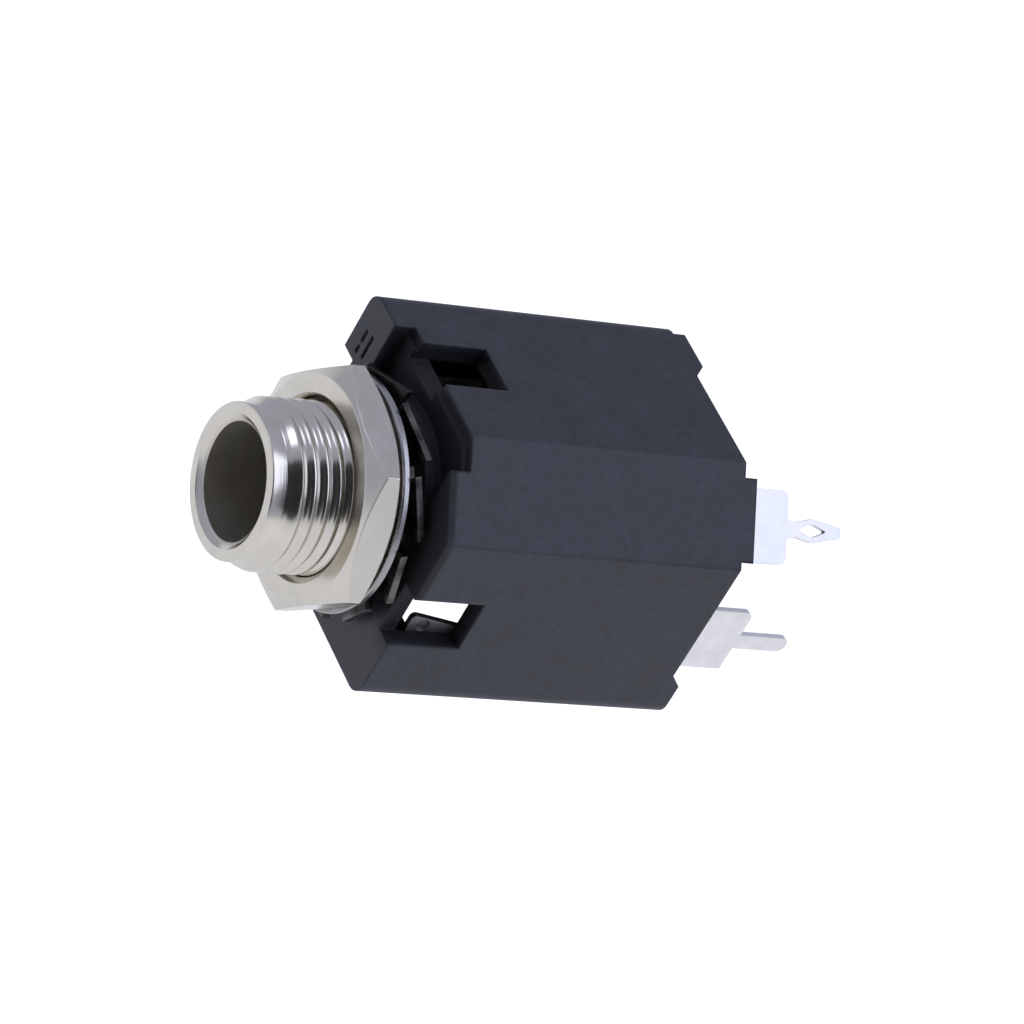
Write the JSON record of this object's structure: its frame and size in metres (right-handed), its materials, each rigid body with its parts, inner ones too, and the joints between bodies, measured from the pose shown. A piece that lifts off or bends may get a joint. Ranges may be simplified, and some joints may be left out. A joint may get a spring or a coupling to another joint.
{
  "type": "audio jack socket",
  "caption": "Panel and board jack socket for a 6.35 mm plug: moulded housing with a cut-off edge, threaded metal nose with hex nut and washers, flat board pins.",
  "frame": {"origin": "on the nose axis, in the plane of the housing's front face", "axes": "-Y along the nose axis towards the plug's mouth, +Z the normal of the top face, +X the normal of the side face that the cut-off edge joins to it"},
  "size_m": [0.0156, 0.0356, 0.0156],
  "materials": {
    "housing": "moulded, fine matt grain",
    "insert": "moulded, plain",
    "nose": "turned, nickel-plated",
    "nut": "nickel-plated",
    "washer": "stamped, nickel-plated",
    "contact": "stamped and bent strip, tin-plated"
  },
  "bodies": {
    "socket": {"housing": "housing", "rear_insert": "insert", "nose_bush": "nose", "tip_contact": "contact", "sleeve_contact": "contact", "ring_contact": "contact"},
    "washers": {"flat_washer": "washer", "lock_washer": "washer"},
    "nut": {"hex_nut": "nut"}
  },
  "joints": [
    {"name": "washer_slide", "type": "slide", "parent": "socket", "child": "washers", "axis": [0, 1, 0], "range_m": [-0.00308, 0.00019]},
    {"name": "nut_turn", "type": "hinge", "parent": "washers", "child": "nut", "pos_m": [0, -0.00295, 0], "axis": [0, 1, 0], "range_deg": [-1400, 90]}
  ],
  "couplings": [
    {"joint": "nut_turn", "follows": "washer_slide", "rad_per_m": 7915.8}
  ]
}
